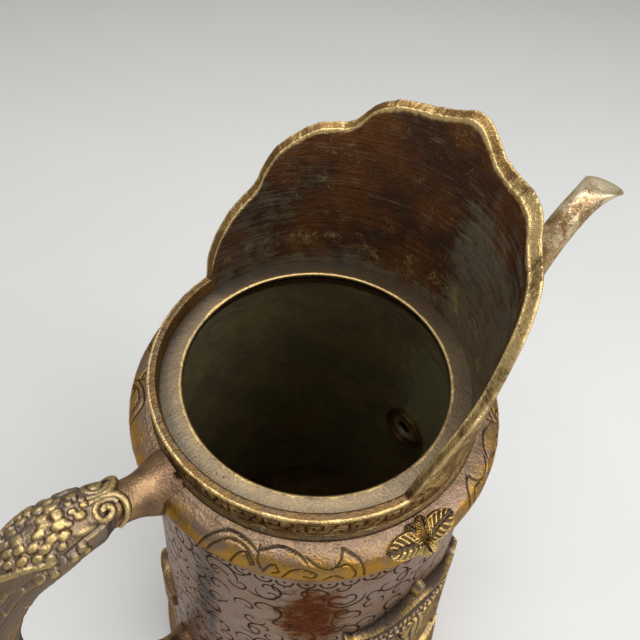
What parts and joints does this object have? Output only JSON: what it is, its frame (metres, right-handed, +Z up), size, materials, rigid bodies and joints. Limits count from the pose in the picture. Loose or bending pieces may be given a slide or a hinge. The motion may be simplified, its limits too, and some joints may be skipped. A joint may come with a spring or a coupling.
{
  "type": "brass ewer",
  "caption": "Tapered brass ewer with a bulging shoulder, round mouth, tall lobed crest, curved spout and beast-headed handle.",
  "frame": {"origin": "centre of the base's underside, on the axis of the body", "axes": "+Z up along the body's axis, +X towards the spout, -X towards the handle; the object is symmetric about the XZ plane"},
  "size_m": [0.312, 0.1742, 0.3154],
  "materials": {
    "engraved_brown_brass": "old mauve-brown patina, chased with fine scrolls",
    "brown_brass": "old brown patina, rubbed brighter on high spots",
    "dark_brass": "dark red-brown patina with turning scratches",
    "grey_brass": "grey-brown patina, bright worn rim",
    "worn_brass": "golden brass worn through dark patina",
    "solder": "dull grey solder"
  },
  "bodies": {
    "root": {"body_wall": "engraved_brown_brass", "base_plate": "dark_brass", "foot_ring": "worn_brass", "shoulder_ring": "worn_brass", "crest_collar": "dark_brass", "seat_plate": "grey_brass", "spout_tube": "worn_brass", "spout_root": "engraved_brown_brass", "port_bead": "solder", "handle_bracket_top": "brown_brass", "beast_head": "worn_brass", "handle_grip": "brown_brass", "handle_bracket_low": "brown_brass", "leaf_spray_near": "worn_brass", "leaf_spray_far": "worn_brass", "roof_relief_near": "worn_brass", "roof_relief_far": "worn_brass", "cloud_relief_near": "brown_brass", "cloud_relief_far": "brown_brass"}
  },
  "joints": []
}
